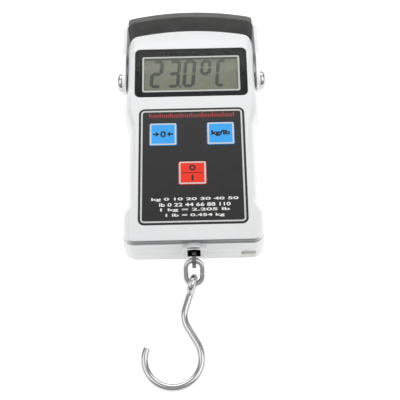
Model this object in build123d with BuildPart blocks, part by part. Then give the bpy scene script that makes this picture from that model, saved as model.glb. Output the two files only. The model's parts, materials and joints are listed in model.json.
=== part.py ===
"""Digital fish scale with a folding carry handle, a chain-hung hook and a pull-out tape measure.

The scale lies on its back: +Z is the way the display faces, +Y runs along the body towards the
handle and +X is to the right of someone reading the display. The origin is the middle of the back
face. All sizes are in millimetres.
"""

from build123d import *
import math
import os

os.makedirs("parts", exist_ok=True)

# ---------------------------------------------------------------- driving dimensions
BODY_LENGTH = 126.0
BODY_DEPTH = 25.0
HALF_LENGTH = BODY_LENGTH / 2
HALF_SHOULDER = 35.0  # half width beside the handle arms
HALF_UPPER = 36.3  # half width just below the handle arms
HALF_WAIST = 33.7
HALF_LOWER = 36.3
CROWN_DROP = 3.8  # fall of the arched handle end from its middle to its corners
PARTING_Z = 10.0
PARTING_GAP = 0.2
WALL = 1.7
CEILING_Z = BODY_DEPTH - WALL
PULL_Z = 12.8  # height of the line of pull: hook, load cell and handle pivots
PRINT_THICKNESS = 0.2

LENS_SIZE = (60.3, 29.7)
LENS_Y = 35.0
LENS_THICKNESS = 0.8
WINDOW_SIZE = (51.4, 20.9)
WINDOW_OPENING = (54.0, 23.6)
WINDOW_Y = 34.5
PANEL_SIZE = (55.2, 65.9)
PANEL_Y = -20.35
PANEL_THICKNESS = 0.5
PANEL_CORNER = 3.2
FIT = 0.15  # gap around a plate set into its recess

KEY_SIZE = (14.2, 13.1)
KEY_PLACES = {"zero": (-15.0, -2.55), "unit": (15.0, -2.55), "power": (0.0, -25.05)}
KEY_TRAVEL = 0.35
KEY_GAP = 0.3
KEY_TOP = BODY_DEPTH + 0.35
KEY_BOTTOM = 24.4
KEY_POCKET_FLOOR = KEY_BOTTOM - KEY_TRAVEL - 0.3
STEM_SIZE = 5.0

BOARD_BOTTOM = 17.6
BOARD_THICKNESS = 1.6
BOARD_TOP = BOARD_BOTTOM + BOARD_THICKNESS
BOARD_SCREWS = ((-24.0, -32.0), (18.0, -32.0), (-24.0, 14.0), (24.0, 14.0))
SWITCH_SIZE = 6.0
SWITCH_HEIGHT = 2.4
PLUNGER_RADIUS = 1.6
PLUNGER_TOP = BOARD_TOP + SWITCH_HEIGHT + 0.8
PLUNGER_BOTTOM = BOARD_TOP + 2.0

CELL_WIDTH = 30.0
CELL_THICKNESS = 8.5
CELL_Y = (-40.0, -6.0)
YOKE_STRIP = 2.5
YOKE_HEIGHT = 8.0
YOKE_ARM_X = 31.0

PIVOT_Y = 36.5
SHOULDER_RADIUS = 2.0
BUSH_BORE = 2.05
ARM_INNER_X = 35.7
ARM_THICKNESS = 2.0
ARM_END_RADIUS = 6.5
HANDLE_TOP_Y = 73.9
GRIP_COVER = 0.7  # grip material outside the bail's crossbar
GRIP_INSIDE = 0.6  # grip material inside the crossbar
GRIP_HALF_WIDTH = 33.9

TANG_THICKNESS = 2.0
TANG_WIDTH = 7.0
EYE_Y = -68.0
LINK_WIRE = 1.3
LINK_X = -0.2
LINK_END_RADIUS = 4.15
HOOK_WIRE = 1.9
HOOK_EYE = (-1.2, -78.3, 5.65)
HOOK_EYE_RADIUS = 3.65
HOOK_YAW = 17.0  # degrees that the hook's shank leans away from the line of pull

AAA_RADIUS = 5.25
AAA_LENGTH = 44.5
BAY_HALF_WIDTH = 10.9
BAY_Y = (3.5, 52.5)
BAY_TOP = 12.9
BAY_MIDDLE_Y = (BAY_Y[0] + BAY_Y[1]) / 2
CELL_PLACES_X = (-5.4, 5.4)

TAPE_X = 27.8
TAPE_WIDTH = 4.5
TAPE_THICKNESS = 0.2
TAPE_Z = 9.0
REEL_Y = -17.0
REEL_RADIUS = 5.5
REEL_Z = TAPE_Z + REEL_RADIUS
SPOOL_RADIUS = REEL_RADIUS + 0.1
TAPE_CASE_X = 23.5
TAPE_CASE_WALL = 1.1
TAPE_CASE_BOTTOM = REEL_Z - SPOOL_RADIUS - 0.7

SCREW_PLACES = ((-28.5, 53.8), (28.5, 53.8), (-19.0, -56.0), (19.0, -56.0))


# ---------------------------------------------------------------- shared shapes
def plan_outline(side, top, bottom):
    """Plan of the housing drawn in by side, top and bottom millimetres."""
    shoulder, upper, waist, lower = (
        half - side for half in (HALF_SHOULDER, HALF_UPPER, HALF_WAIST, HALF_LOWER)
    )
    crown, foot = HALF_LENGTH - top, -HALF_LENGTH + bottom
    corner_y = crown - CROWN_DROP
    foot_corner = max(6.5 - side, 2.0)
    with BuildSketch(Plane.XY) as plan:
        with BuildLine():
            FilletPolyline(
                (shoulder, corner_y),
                (shoulder, 26.0),
                (upper, 22.5),
                (upper, 13.5),
                (waist, 4.0),
                (waist, -40.0),
                (lower, -45.5),
                (lower, foot),
                (-lower, foot),
                (-lower, -45.5),
                (-waist, -40.0),
                (-waist, 4.0),
                (-upper, 13.5),
                (-upper, 22.5),
                (-shoulder, 26.0),
                (-shoulder, corner_y),
                radius=[4.0] * 6 + [foot_corner] * 2 + [4.0] * 6,
            )
            ThreePointArc((-shoulder, corner_y), (0, crown), (shoulder, corner_y))
        make_face()
        fillet(plan.vertices().group_by(Axis.Y)[-1], max(7.0 - side, 2.0))
    return plan.sketch


def finish(builder, name):
    """Name the finished piece and write its file."""
    builder.part.label = name
    export_step(builder.part, f"parts/{name}.step")


OUTLINE = plan_outline(0, 0, 0)

# ---------------------------------------------------------------- housing
SHOULDER_Z = 14.0
LEDGE_Z = 20.5
BEVEL_Z = 23.0
MOUTH_HALF_WIDTH = 3.3
MOUTH_Z = (8.9, 19.0)
COLLAR_HALF_WIDTH = 6.1
COLLAR_TOP = 21.8
COLLAR_PROUD = 1.6
TAPE_SLOT_BOTTOM = 7.6
TAPE_SLOT_WIDTH = 7.2
BOSS_RADIUS = 2.9
CROWN_BOSS_TOP = 22.0
PIVOT_HOLE = 2.4
ROOT = 0.1  # how far a boss or post grows into the wall that it stands on
BOARD_POST_RADIUS = 2.3
SCREW_PILOT = 1.15

# outlines of the front, from the step around it up to the face
crown_levels = (
    (LEDGE_Z, plan_outline(1.1, 0.3, 1.25)),
    (BEVEL_Z, plan_outline(2.1, 0.4, 1.15)),
    (BODY_DEPTH, plan_outline(3.9, 7.0, 1.05)),
)
# outlines of the hollow behind them
hollow_levels = (
    (SHOULDER_Z + 3, plan_outline(2.3, 2.6, 2.6)),
    (21.0, plan_outline(3.2, 3.4, 3.8)),
    (CEILING_Z, plan_outline(5.2, 8.6, 3.9)),
)

# arched collar around the mouth that the hook's tang comes out of
with BuildPart() as collar_block:
    with BuildSketch(Plane.XZ.offset(HALF_LENGTH - 4)) as collar_face:
        with BuildLine():
            Polyline(
                (-COLLAR_HALF_WIDTH, COLLAR_TOP - 4.5),
                (-COLLAR_HALF_WIDTH, PARTING_Z + PARTING_GAP),
                (COLLAR_HALF_WIDTH, PARTING_Z + PARTING_GAP),
                (COLLAR_HALF_WIDTH, COLLAR_TOP - 4.5),
            )
            ThreePointArc(
                (COLLAR_HALF_WIDTH, COLLAR_TOP - 4.5),
                (0, COLLAR_TOP),
                (-COLLAR_HALF_WIDTH, COLLAR_TOP - 4.5),
            )
        make_face()
        fillet(collar_face.vertices().group_by(Axis.Y)[-1], 1.5)
    extrude(amount=4 + COLLAR_PROUD)
    collar_rim = collar_block.faces().sort_by(Axis.Y)[0].edges()
    fillet(collar_rim.filter_by(lambda e: e.center().Z > PARTING_Z + 1), 0.9)

with BuildPart() as front_shell:
    with BuildSketch(Plane.XY.offset(PARTING_Z + PARTING_GAP)):
        add(OUTLINE)
    extrude(amount=SHOULDER_Z - PARTING_Z - PARTING_GAP)
    with BuildSketch(Plane.XY.offset(SHOULDER_Z)):
        add(OUTLINE)
    with BuildSketch(Plane.XY.offset(LEDGE_Z)):
        add(plan_outline(1.1, 0.3, 0.8))
    loft(ruled=True)
    for (low_z, low), (high_z, high) in zip(crown_levels, crown_levels[1:]):
        with BuildSketch(Plane.XY.offset(low_z)):
            add(low)
        with BuildSketch(Plane.XY.offset(high_z)):
            add(high)
        loft(ruled=True)
    face_rim = front_shell.faces().sort_by(Axis.Z)[-1].edges()
    fillet(face_rim, 0.7)
    add(collar_block.part)
    # hollow inside
    with BuildSketch(Plane.XY.offset(PARTING_Z)):
        add(plan_outline(WALL, WALL + 0.2, WALL))
    extrude(amount=SHOULDER_Z - PARTING_Z, mode=Mode.SUBTRACT)
    with BuildSketch(Plane.XY.offset(SHOULDER_Z)):
        add(plan_outline(WALL, WALL + 0.2, WALL))
    with BuildSketch(Plane.XY.offset(SHOULDER_Z + 3)):
        add(hollow_levels[0][1])
    loft(ruled=True, mode=Mode.SUBTRACT)
    for (low_z, low), (high_z, high) in zip(hollow_levels, hollow_levels[1:]):
        with BuildSketch(Plane.XY.offset(low_z)):
            add(low)
        with BuildSketch(Plane.XY.offset(high_z)):
            add(high)
        loft(ruled=True, mode=Mode.SUBTRACT)
    # mouth for the tang
    with BuildSketch(Plane.XZ.offset(HALF_LENGTH - 8)):
        with BuildLine():
            Polyline(
                (-MOUTH_HALF_WIDTH, MOUTH_Z[1] - 0.8),
                (-MOUTH_HALF_WIDTH, PARTING_Z),
                (MOUTH_HALF_WIDTH, PARTING_Z),
                (MOUTH_HALF_WIDTH, MOUTH_Z[1] - 0.8),
            )
            ThreePointArc(
                (MOUTH_HALF_WIDTH, MOUTH_Z[1] - 0.8),
                (0, MOUTH_Z[1]),
                (-MOUTH_HALF_WIDTH, MOUTH_Z[1] - 0.8),
            )
        make_face()
    extrude(amount=12, mode=Mode.SUBTRACT)
    # recesses for the lens and the label panel, the display window and the key pockets
    with BuildSketch(Plane.XY.offset(BODY_DEPTH)):
        with Locations((0, LENS_Y)):
            RectangleRounded(LENS_SIZE[0] + 2 * FIT, LENS_SIZE[1] + 2 * FIT, 3.0)
    extrude(amount=-(LENS_THICKNESS + PRINT_THICKNESS), mode=Mode.SUBTRACT)
    with BuildSketch(Plane.XY.offset(BODY_DEPTH)):
        with Locations((0, WINDOW_Y)):
            RectangleRounded(WINDOW_OPENING[0], WINDOW_OPENING[1], 1.5)
    extrude(amount=-3 * WALL, mode=Mode.SUBTRACT)
    with BuildSketch(Plane.XY.offset(BODY_DEPTH)):
        with Locations((0, PANEL_Y)):
            RectangleRounded(PANEL_SIZE[0] + 2 * FIT, PANEL_SIZE[1] + 2 * FIT, PANEL_CORNER)
    extrude(amount=-PANEL_THICKNESS, mode=Mode.SUBTRACT)
    with BuildSketch(Plane.XY.offset(BODY_DEPTH)):
        with Locations(*KEY_PLACES.values()):
            RectangleRounded(KEY_SIZE[0] + 2 * KEY_GAP, KEY_SIZE[1] + 2 * KEY_GAP, 1.1)
    extrude(amount=KEY_POCKET_FLOOR - BODY_DEPTH, mode=Mode.SUBTRACT)
    with BuildSketch(Plane.XY.offset(BODY_DEPTH)):
        with Locations(*KEY_PLACES.values()):
            Rectangle(STEM_SIZE + 2 * KEY_GAP, STEM_SIZE + 2 * KEY_GAP)
    extrude(amount=-3 * WALL, mode=Mode.SUBTRACT)
    # screw bosses reach from the ceiling down to the parting plane
    for boss_places, boss_top in (
        (SCREW_PLACES[:2], CROWN_BOSS_TOP),
        (SCREW_PLACES[2:], CEILING_Z + ROOT),
    ):
        with BuildSketch(Plane.XY.offset(PARTING_Z + PARTING_GAP)):
            with Locations(*boss_places):
                Circle(BOSS_RADIUS)
        extrude(amount=boss_top - PARTING_Z - PARTING_GAP)
    # posts that the main board is screwed to
    with BuildSketch(Plane.XY.offset(BOARD_TOP)):
        with Locations(*BOARD_SCREWS):
            Circle(BOARD_POST_RADIUS)
    extrude(amount=CEILING_Z + ROOT - BOARD_TOP)
    with BuildSketch(Plane.XY.offset(BOARD_TOP)):
        with Locations(*BOARD_SCREWS):
            Circle(1.05)
    extrude(amount=3.0, mode=Mode.SUBTRACT)
    with BuildSketch(Plane.XY.offset(PARTING_Z)):
        with Locations(*SCREW_PLACES):
            Circle(SCREW_PILOT)
    extrude(amount=8.5, mode=Mode.SUBTRACT)
    # holes for the handle's pivot screws
    with BuildSketch(Plane.YZ.offset(-50)):
        with Locations((PIVOT_Y, PULL_Z)):
            Circle(PIVOT_HOLE)
    extrude(amount=100, mode=Mode.SUBTRACT)
finish(front_shell, "front_shell")

DOOR_THICKNESS = 1.5
DOOR_HALF_WIDTH = 12.6
DOOR_Y = (1.6, 54.4)
DOOR_GAP = 0.3
COUNTERBORE_RADIUS = 2.7
COUNTERBORE_DEPTH = 4.0
COLUMN_RADIUS = 3.9

with BuildPart() as rear_shell:
    with BuildSketch(Plane.XY):
        add(OUTLINE)
    extrude(amount=PARTING_Z)
    fillet(rear_shell.faces().sort_by(Axis.Z)[0].edges(), 1.6)
    with BuildSketch(Plane.XZ.offset(HALF_LENGTH - 4)):
        with Locations((0, PARTING_Z - 1.6)):
            Rectangle(2 * COLLAR_HALF_WIDTH, 3.2)
    extrude(amount=4 + COLLAR_PROUD)
    collar_foot = rear_shell.faces().sort_by(Axis.Y)[0].edges()
    fillet(collar_foot.filter_by(lambda e: e.center().Z < PARTING_Z - 0.5), 0.8)
    with BuildSketch(Plane.XY.offset(WALL)):
        add(plan_outline(WALL, WALL + 0.2, WALL))
    extrude(amount=PARTING_Z, mode=Mode.SUBTRACT)
    # battery bay: walls and roof, open through the back face
    with BuildSketch(Plane.XY.offset(WALL)):
        with Locations((0, BAY_MIDDLE_Y)):
            Rectangle(2 * BAY_HALF_WIDTH + 2.4, BAY_Y[1] - BAY_Y[0] + 2.4)
    extrude(amount=BAY_TOP + 1.2 - WALL)
    # frame around the bay that the door's edge rests on
    with BuildSketch(Plane.XY.offset(WALL / 2)):
        with Locations((0, (DOOR_Y[0] + DOOR_Y[1]) / 2)):
            Rectangle(2 * DOOR_HALF_WIDTH + 3.6, DOOR_Y[1] - DOOR_Y[0] + 3.6)
    extrude(amount=DOOR_THICKNESS + 1.5 - WALL / 2)
    with BuildSketch(Plane.XY.offset(-1)):
        with Locations((0, BAY_MIDDLE_Y)):
            Rectangle(2 * BAY_HALF_WIDTH, BAY_Y[1] - BAY_Y[0])
    extrude(amount=BAY_TOP + 1, mode=Mode.SUBTRACT)
    with BuildSketch(Plane.XY.offset(-1)):
        with Locations((0, (DOOR_Y[0] + DOOR_Y[1]) / 2)):
            RectangleRounded(
                2 * (DOOR_HALF_WIDTH + DOOR_GAP), DOOR_Y[1] - DOOR_Y[0] + 2 * DOOR_GAP, 2.0
            )
    extrude(amount=1 + DOOR_THICKNESS + 0.3, mode=Mode.SUBTRACT)
    # rib that carries the tape measure's case
    with BuildSketch(Plane.XY.offset(WALL / 2)):
        with Locations((TAPE_CASE_X + TAPE_CASE_WALL / 2, REEL_Y)):
            Rectangle(TAPE_CASE_WALL, 12.0)
    extrude(amount=TAPE_CASE_BOTTOM - WALL / 2)
    # screw columns with counterbores from the back
    with BuildSketch(Plane.XY.offset(WALL / 2)):
        with Locations(*SCREW_PLACES):
            Circle(COLUMN_RADIUS)
    extrude(amount=PARTING_Z - WALL / 2)
    with Locations(*[Location((x, y, 0), (180, 0, 0)) for x, y in SCREW_PLACES]):
        CounterBoreHole(1.6, COUNTERBORE_RADIUS, COUNTERBORE_DEPTH, 2 * PARTING_Z)
    # mouth for the tang and slot for the tape
    with BuildSketch(Plane.XZ.offset(HALF_LENGTH - 8)):
        with Locations((0, (MOUTH_Z[0] + PARTING_Z + 1) / 2)):
            Rectangle(2 * MOUTH_HALF_WIDTH, PARTING_Z + 1 - MOUTH_Z[0])
    extrude(amount=12, mode=Mode.SUBTRACT)
    with BuildSketch(Plane.XZ.offset(HALF_LENGTH - 8)):
        with Locations((TAPE_X, (TAPE_SLOT_BOTTOM + PARTING_Z + 1) / 2)):
            Rectangle(TAPE_SLOT_WIDTH, PARTING_Z + 1 - TAPE_SLOT_BOTTOM)
    extrude(amount=12, mode=Mode.SUBTRACT)
finish(rear_shell, "rear_shell")

with BuildPart() as housing_screws:
    with BuildSketch(Plane.XY.offset(COUNTERBORE_DEPTH - 2.0)):
        with Locations(*SCREW_PLACES):
            Circle(2.4)
    extrude(amount=2.0)
    fillet(housing_screws.edges().group_by(Axis.Z)[0], 0.5)
    with BuildSketch(Plane.XY.offset(COUNTERBORE_DEPTH)):
        with Locations(*SCREW_PLACES):
            Circle(1.1)
    extrude(amount=14.0)
    with BuildSketch(Plane.XY.offset(COUNTERBORE_DEPTH - 2.0)):
        with Locations(*SCREW_PLACES):
            Rectangle(2.6, 0.6)
            Rectangle(0.6, 2.6)
    extrude(amount=1.1, mode=Mode.SUBTRACT)
finish(housing_screws, "housing_screws")

with BuildPart() as battery_door:
    with BuildSketch(Plane.XY.offset(0.1)):
        with Locations((0, (DOOR_Y[0] + DOOR_Y[1]) / 2)):
            RectangleRounded(2 * DOOR_HALF_WIDTH, DOOR_Y[1] - DOOR_Y[0], 1.8)
    extrude(amount=DOOR_THICKNESS - 0.1)
    fillet(battery_door.edges().group_by(Axis.Z)[0], 0.4)
    # thumb ribs
    with BuildSketch(Plane.XY.offset(0.1)):
        with GridLocations(0, 1.6, 1, 5):
            with Locations((0, DOOR_Y[1] - 7.0)):
                Rectangle(12.0, 0.7)
    extrude(amount=0.5, mode=Mode.SUBTRACT)
finish(battery_door, "battery_door")

# ---------------------------------------------------------------- display
MASK_BOTTOM = BODY_DEPTH - LENS_THICKNESS - PRINT_THICKNESS
LENS_LOW = 0.05  # the lens sits a hair below the face around it
LCD_SIZE = (56.0, 26.6)
LCD_TOP = CEILING_Z - 0.1
LCD_THICKNESS = 1.5
HOLDER_SIZE = (58.0, 28.6)
ZEBRA_SIZE = (46.0, 1.8)
ZEBRA_Y = WINDOW_Y - 12.0

with BuildPart() as window_lens:
    with BuildSketch(Plane.XY.offset(MASK_BOTTOM + PRINT_THICKNESS)):
        with Locations((0, LENS_Y)):
            RectangleRounded(*LENS_SIZE, 2.9)
    extrude(amount=LENS_THICKNESS - LENS_LOW)
    fillet(window_lens.edges().group_by(Axis.Z)[-1], 0.25)
finish(window_lens, "window_lens")

with BuildPart() as window_mask:
    with BuildSketch(Plane.XY.offset(MASK_BOTTOM)):
        with Locations((0, LENS_Y)):
            RectangleRounded(*LENS_SIZE, 2.9)
        with Locations((0, WINDOW_Y)):
            RectangleRounded(*WINDOW_SIZE, 0.8, mode=Mode.SUBTRACT)
    extrude(amount=PRINT_THICKNESS)
finish(window_mask, "window_mask")

with BuildPart() as lcd_cell:
    with BuildSketch(Plane.XY.offset(LCD_TOP - LCD_THICKNESS)):
        with Locations((0, WINDOW_Y)):
            Rectangle(*LCD_SIZE)
    extrude(amount=LCD_THICKNESS)
    chamfer(lcd_cell.edges().filter_by(Axis.Z), 0.4)
finish(lcd_cell, "lcd_cell")

with BuildPart() as lcd_reflector:
    with BuildSketch(Plane.XY.offset(LCD_TOP - LCD_THICKNESS - 0.3)):
        with Locations((0, WINDOW_Y + 1.2)):
            Rectangle(LCD_SIZE[0] - 4, LCD_SIZE[1] - 6)
    extrude(amount=0.3)
finish(lcd_reflector, "lcd_reflector")

with BuildPart() as lcd_holder:
    with BuildSketch(Plane.XY.offset(BOARD_TOP)):
        with Locations((0, WINDOW_Y)):
            Rectangle(*HOLDER_SIZE)
        with Locations((0, WINDOW_Y + 1.2)):
            Rectangle(LCD_SIZE[0] - 4, LCD_SIZE[1] - 6, mode=Mode.SUBTRACT)
        with Locations((0, ZEBRA_Y)):
            Rectangle(ZEBRA_SIZE[0] + 0.2, ZEBRA_SIZE[1] + 0.2, mode=Mode.SUBTRACT)
    extrude(amount=LCD_TOP - LCD_THICKNESS - BOARD_TOP)
    with BuildSketch(Plane.XY.offset(LCD_TOP - LCD_THICKNESS)):
        with Locations((0, WINDOW_Y)):
            Rectangle(*HOLDER_SIZE)
            Rectangle(LCD_SIZE[0] + 0.2, LCD_SIZE[1] + 0.2, mode=Mode.SUBTRACT)
    extrude(amount=LCD_THICKNESS)
finish(lcd_holder, "lcd_holder")

with BuildPart() as zebra_strip:
    with BuildSketch(Plane.XY.offset(BOARD_TOP)):
        with Locations((0, ZEBRA_Y)):
            Rectangle(*ZEBRA_SIZE)
    extrude(amount=LCD_TOP - LCD_THICKNESS - BOARD_TOP)
finish(zebra_strip, "zebra_strip")

# ---------------------------------------------------------------- label panel and keys
with BuildPart() as label_panel:
    with BuildSketch(Plane.XY.offset(BODY_DEPTH - PANEL_THICKNESS)):
        with Locations((0, PANEL_Y)):
            RectangleRounded(*PANEL_SIZE, PANEL_CORNER - FIT)
        with Locations(*KEY_PLACES.values()):
            RectangleRounded(
                KEY_SIZE[0] + 2 * KEY_GAP, KEY_SIZE[1] + 2 * KEY_GAP, 1.1, mode=Mode.SUBTRACT
            )
    extrude(amount=PANEL_THICKNESS + 0.1)
finish(label_panel, "label_panel")

for key_name, (key_x, key_y) in KEY_PLACES.items():
    with BuildPart() as key:
        with BuildSketch(Plane.XY.offset(KEY_BOTTOM)):
            with Locations((key_x, key_y)):
                RectangleRounded(*KEY_SIZE, 0.8)
        extrude(amount=KEY_TOP - KEY_BOTTOM)
        fillet(key.edges().group_by(Axis.Z)[-1], 0.3)
        with BuildSketch(Plane.XY.offset(PLUNGER_TOP)):
            with Locations((key_x, key_y)):
                Rectangle(STEM_SIZE, STEM_SIZE)
        extrude(amount=KEY_BOTTOM - PLUNGER_TOP)
    finish(key, f"{key_name}_key")

    with BuildPart() as plunger:
        with BuildSketch(Plane.XY.offset(PLUNGER_BOTTOM)):
            with Locations((key_x, key_y)):
                Circle(PLUNGER_RADIUS)
        extrude(amount=PLUNGER_TOP - PLUNGER_BOTTOM)
    finish(plunger, f"{key_name}_plunger")

with BuildPart() as tact_switches:
    with BuildSketch(Plane.XY.offset(BOARD_TOP)):
        with Locations(*KEY_PLACES.values()):
            Rectangle(SWITCH_SIZE, SWITCH_SIZE)
    extrude(amount=SWITCH_HEIGHT)
    chamfer(tact_switches.edges().filter_by(Axis.Z), 0.5)
    with BuildSketch(Plane.XY.offset(PLUNGER_BOTTOM - KEY_TRAVEL - 0.2)):
        with Locations(*KEY_PLACES.values()):
            Circle(PLUNGER_RADIUS + 0.1)
    extrude(amount=SWITCH_HEIGHT, mode=Mode.SUBTRACT)
finish(tact_switches, "tact_switches")

# ---------------------------------------------------------------- electronics
BOARD_HALF_WIDTH = 26.5
BOARD_Y = (-36.0, 46.0)
BOARD_STEP_Y = -6.0
BOARD_LOWER_X = (-26.5, 20.5)

with BuildPart() as main_board:
    with BuildSketch(Plane.XY.offset(BOARD_BOTTOM)):
        with Locations((0, (BOARD_STEP_Y + BOARD_Y[1]) / 2)):
            Rectangle(2 * BOARD_HALF_WIDTH, BOARD_Y[1] - BOARD_STEP_Y)
        with Locations((sum(BOARD_LOWER_X) / 2, (BOARD_Y[0] + BOARD_STEP_Y) / 2)):
            Rectangle(BOARD_LOWER_X[1] - BOARD_LOWER_X[0], BOARD_STEP_Y - BOARD_Y[0])
        with Locations(*BOARD_SCREWS):
            Circle(1.2, mode=Mode.SUBTRACT)
    extrude(amount=BOARD_THICKNESS)
finish(main_board, "main_board")

with BuildPart() as board_screws:
    with BuildSketch(Plane.XY.offset(BOARD_BOTTOM - 1.2)):
        with Locations(*BOARD_SCREWS):
            Circle(2.0)
    extrude(amount=1.2)
    with BuildSketch(Plane.XY.offset(BOARD_BOTTOM)):
        with Locations(*BOARD_SCREWS):
            Circle(1.0)
    extrude(amount=BOARD_THICKNESS + 2.0)
finish(board_screws, "board_screws")

with BuildPart() as chip_blob:
    with BuildSketch(Plane.XY.offset(BOARD_TOP)):
        with Locations((-8.0, 10.0)):
            Circle(5.0)
    extrude(amount=1.3)
    fillet(chip_blob.edges().group_by(Axis.Z)[-1], 1.2)
finish(chip_blob, "chip_blob")

# middle x and y, width, length and height of each small part on the board
CHIP_PARTS = (
    (8.0, 10.0, 6.0, 4.0, 1.6),
    (-20.0, 8.0, 3.2, 1.6, 0.9),
    (-20.0, 4.5, 3.2, 1.6, 0.9),
    (18.0, 10.0, 3.2, 1.6, 0.9),
    (18.0, 6.5, 3.2, 1.6, 0.9),
    (-14.0, -14.0, 5.0, 4.0, 1.4),
    (12.0, -14.0, 2.0, 1.2, 0.8),
    (12.0, -17.0, 2.0, 1.2, 0.8),
    (-18.0, -24.0, 2.0, 1.2, 0.8),
    (-18.0, -27.0, 2.0, 1.2, 0.8),
)

with BuildPart() as board_components:
    for part_x, part_y, part_width, part_length, part_height in CHIP_PARTS:
        with BuildSketch(Plane.XY.offset(BOARD_TOP)):
            with Locations((part_x, part_y)):
                Rectangle(part_width, part_length)
        extrude(amount=part_height)
finish(board_components, "board_components")

# ---------------------------------------------------------------- load path
CELL_LOW = PULL_Z - CELL_THICKNESS / 2
CELL_TOP = PULL_Z + CELL_THICKNESS / 2
CELL_SLOT = 3.0
CELL_WEB_Y = (CELL_Y[0] + CELL_Y[1]) / 2
TANG_END_Y = -33.5
TANG_PIN_Y = -36.3
TANG_PIN_RADIUS = 1.5
YOKE_BOLTS_X = (-9.0, 9.0)

with BuildPart() as load_cell:
    with BuildSketch(Plane.XY.offset(CELL_LOW)):
        with Locations((0, CELL_WEB_Y)):
            Rectangle(CELL_WIDTH, CELL_Y[1] - CELL_Y[0])
        # the two slots from opposite sides give the block its S shape
        with Locations((-4.0, CELL_WEB_Y + 7.0)):
            Rectangle(CELL_WIDTH - 8.0, CELL_SLOT, mode=Mode.SUBTRACT)
        with Locations((4.0, CELL_WEB_Y - 7.0)):
            Rectangle(CELL_WIDTH - 8.0, CELL_SLOT, mode=Mode.SUBTRACT)
        with Locations((-3.4, CELL_WEB_Y), (3.4, CELL_WEB_Y)):
            Circle(3.2, mode=Mode.SUBTRACT)
        with Locations((0, CELL_WEB_Y)):
            Rectangle(6.8, 2.4, mode=Mode.SUBTRACT)
        with Locations((0, CELL_Y[0] + 2.5)):
            Rectangle(TANG_THICKNESS + 0.1, 9.2, mode=Mode.SUBTRACT)
    extrude(amount=CELL_THICKNESS)
    with BuildSketch(Plane.YZ.offset(-9.0)):
        with Locations((TANG_PIN_Y, PULL_Z)):
            Circle(TANG_PIN_RADIUS + 0.02)
    extrude(amount=18.0, mode=Mode.SUBTRACT)
    with BuildSketch(Plane.XZ.offset(-CELL_Y[1])):
        with Locations(*[(x, PULL_Z) for x in YOKE_BOLTS_X]):
            Circle(1.55)
    extrude(amount=6.0, mode=Mode.SUBTRACT)
    chamfer(load_cell.edges().filter_by(Axis.Z).group_by(Axis.Y)[0], 0.6)
finish(load_cell, "load_cell")

with BuildPart() as strain_gauges:
    for gauge_z in (CELL_LOW - 0.12, CELL_TOP):
        with BuildSketch(Plane.XY.offset(gauge_z)):
            with Locations((-11.0, CELL_WEB_Y), (11.0, CELL_WEB_Y)):
                Rectangle(4.0, 5.5)
        extrude(amount=0.12)
finish(strain_gauges, "strain_gauges")

LEAD_RADIUS = 0.45
LEAD_BEND = 2.6
LEAD_OUT_X = 18.6

with BuildPart() as cell_leads:
    for lead_y in (-27.0, -25.7, -24.4, -23.1):
        with BuildLine() as lead_route:
            FilletPolyline(
                (CELL_WIDTH / 2, lead_y, PULL_Z),
                (LEAD_OUT_X, lead_y, PULL_Z),
                (LEAD_OUT_X, lead_y, BOARD_BOTTOM),
                radius=LEAD_BEND,
            )
        with BuildSketch(Plane.YZ.offset(CELL_WIDTH / 2)):
            with Locations((lead_y, PULL_Z)):
                Circle(LEAD_RADIUS)
        sweep(path=lead_route.wires()[0])
finish(cell_leads, "cell_leads")

EYE_RADIUS = 3.9
EYE_BORE = 2.1

with BuildPart() as hook_tang:
    with BuildSketch(Plane.YZ.offset(-TANG_THICKNESS / 2)):
        with Locations(((EYE_Y + TANG_END_Y) / 2, PULL_Z)):
            Rectangle(TANG_END_Y - EYE_Y, TANG_WIDTH)
        with Locations((EYE_Y, PULL_Z)):
            Circle(EYE_RADIUS)
            Circle(EYE_BORE, mode=Mode.SUBTRACT)
        with Locations((TANG_PIN_Y, PULL_Z)):
            Circle(TANG_PIN_RADIUS + 0.02, mode=Mode.SUBTRACT)
    extrude(amount=TANG_THICKNESS)
    eye_rims = hook_tang.edges().filter_by(GeomType.CIRCLE)
    fillet(eye_rims.filter_by(lambda e: abs(e.radius - EYE_BORE) < 0.01), 0.4)
finish(hook_tang, "hook_tang")

with BuildPart() as tang_pin:
    with BuildSketch(Plane.YZ.offset(-9.0)):
        with Locations((TANG_PIN_Y, PULL_Z)):
            Circle(TANG_PIN_RADIUS)
            Circle(0.7, mode=Mode.SUBTRACT)
    extrude(amount=18.0)
finish(tang_pin, "tang_pin")

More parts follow.
